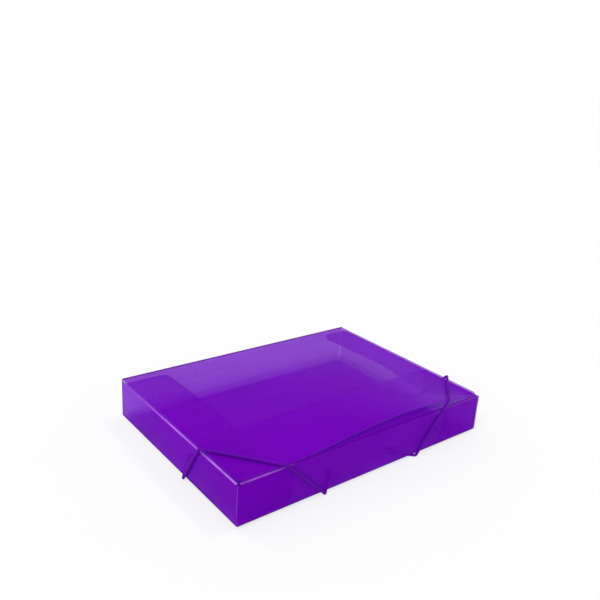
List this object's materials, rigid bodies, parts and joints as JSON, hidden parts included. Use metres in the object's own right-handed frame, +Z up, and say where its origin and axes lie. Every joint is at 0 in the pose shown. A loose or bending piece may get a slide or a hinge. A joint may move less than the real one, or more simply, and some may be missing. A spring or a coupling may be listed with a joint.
{
  "type": "file box",
  "caption": "Flat folding file box of translucent violet plastic sheet: hinged spine and lid, inner flaps, and elastic cords that hold the fore corners shut.",
  "frame": {"origin": "below the middle of the box, level with the underside of the cords that it lies on", "axes": "+X along the length, +Y from the fore wall to the spine, +Z up through the lid"},
  "size_m": [0.3414, 0.2482, 0.0596],
  "materials": {
    "sheet": "translucent violet polypropylene sheet, glossy with a fine grain",
    "fold": "the same sheet where a crease has paled it, glossy",
    "cord": "dark violet braided cover over a rubber core, matt"
  },
  "bodies": {
    "tray": {"base_panel": "sheet", "fore_wall": "sheet", "left_wall": "sheet", "right_wall": "sheet", "left_corner_tab": "sheet", "right_corner_tab": "sheet", "base_fore_fold": "fold", "base_left_fold": "fold", "base_right_fold": "fold", "base_spine_fold": "fold", "fore_flap_fold": "fold", "left_flap_fold": "fold", "right_flap_fold": "fold", "left_elastic_loop": "cord", "right_elastic_loop": "cord", "left_elastic_side_end": "cord", "left_elastic_fore_end": "cord", "right_elastic_side_end": "cord", "right_elastic_fore_end": "cord"},
    "spine": {"spine_panel": "sheet", "spine_lid_fold": "fold"},
    "lid": {"lid_panel": "sheet"},
    "fore_flap": {"fore_flap": "sheet"},
    "left_flap": {"left_flap": "sheet"},
    "right_flap": {"right_flap": "sheet"}
  },
  "joints": [
    {"name": "spine_hinge", "type": "hinge", "parent": "tray", "child": "spine", "pos_m": [0, 0.12327, 0.00395], "axis": [-1, 0, 0], "range_deg": [0, 88], "deforming": ["left_elastic_loop", "right_elastic_loop"]},
    {"name": "lid_hinge", "type": "hinge", "parent": "spine", "child": "lid", "pos_m": [0, 0.12327, 0.04835], "axis": [-1, 0, 0], "range_deg": [0, 88]},
    {"name": "fore_flap_hinge", "type": "hinge", "parent": "tray", "child": "fore_flap", "pos_m": [0, -0.12012, 0.04705], "axis": [1, 0, 0], "range_deg": [0, 132]},
    {"name": "left_flap_hinge", "type": "hinge", "parent": "tray", "child": "left_flap", "pos_m": [-0.1667, 0, 0.04585], "axis": [0, -1, 0], "range_deg": [0, 79.2]},
    {"name": "right_flap_hinge", "type": "hinge", "parent": "tray", "child": "right_flap", "pos_m": [0.1667, 0, 0.04585], "axis": [0, 1, 0], "range_deg": [0, 79.2]}
  ],
  "couplings": [
    {"joint": "lid_hinge", "follows": "spine_hinge", "ratio": 1},
    {"joint": "fore_flap_hinge", "follows": "spine_hinge", "ratio": 1.5},
    {"joint": "left_flap_hinge", "follows": "spine_hinge", "ratio": 0.9},
    {"joint": "right_flap_hinge", "follows": "spine_hinge", "ratio": 0.9}
  ]
}
